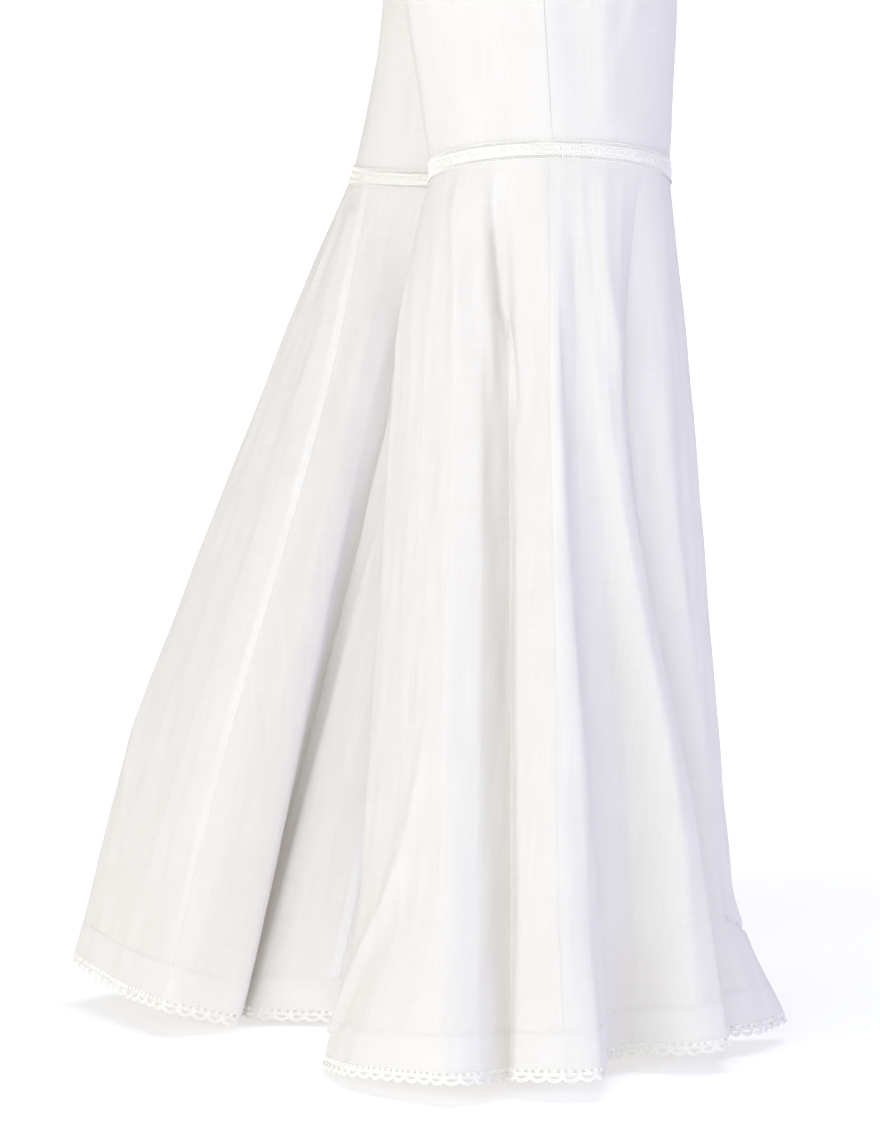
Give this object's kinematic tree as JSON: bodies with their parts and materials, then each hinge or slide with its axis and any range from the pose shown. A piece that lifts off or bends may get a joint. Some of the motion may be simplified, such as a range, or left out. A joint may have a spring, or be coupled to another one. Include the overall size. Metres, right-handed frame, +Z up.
{
  "type": "gharara, worn",
  "caption": "White cotton gharara: close upper legs, a lace-covered knee seam and gored flares that hang in folds to a lace-edged hem, held at the waist.",
  "frame": {"origin": "middle of the waistband, where the garment is held", "axes": "+Z up, -Y the wearer's front, -X the wearer's right"},
  "size_m": [0.5008, 0.4617, 1.0447],
  "materials": {
    "cotton": "matt fine plain weave, slightly see-through",
    "doubled_cotton": "matt fine plain weave in two layers",
    "lace": "matt cotton lace"
  },
  "bodies": {
    "root": {"waistband": "doubled_cotton", "right_front": "cotton", "right_back": "cotton", "right_knee_lace": "lace", "right_gore_1": "cotton", "right_gore_2": "cotton", "right_gore_3": "cotton", "right_gore_4": "cotton", "right_gore_5": "cotton", "right_gore_6": "cotton", "right_hem_band": "doubled_cotton", "right_hem_lace": "lace", "left_front": "cotton", "left_back": "cotton", "left_knee_lace": "lace", "left_gore_1": "cotton", "left_gore_2": "cotton", "left_gore_3": "cotton", "left_gore_4": "cotton", "left_gore_5": "cotton", "left_gore_6": "cotton", "left_hem_band": "doubled_cotton", "left_hem_lace": "lace"}
  },
  "joints": []
}
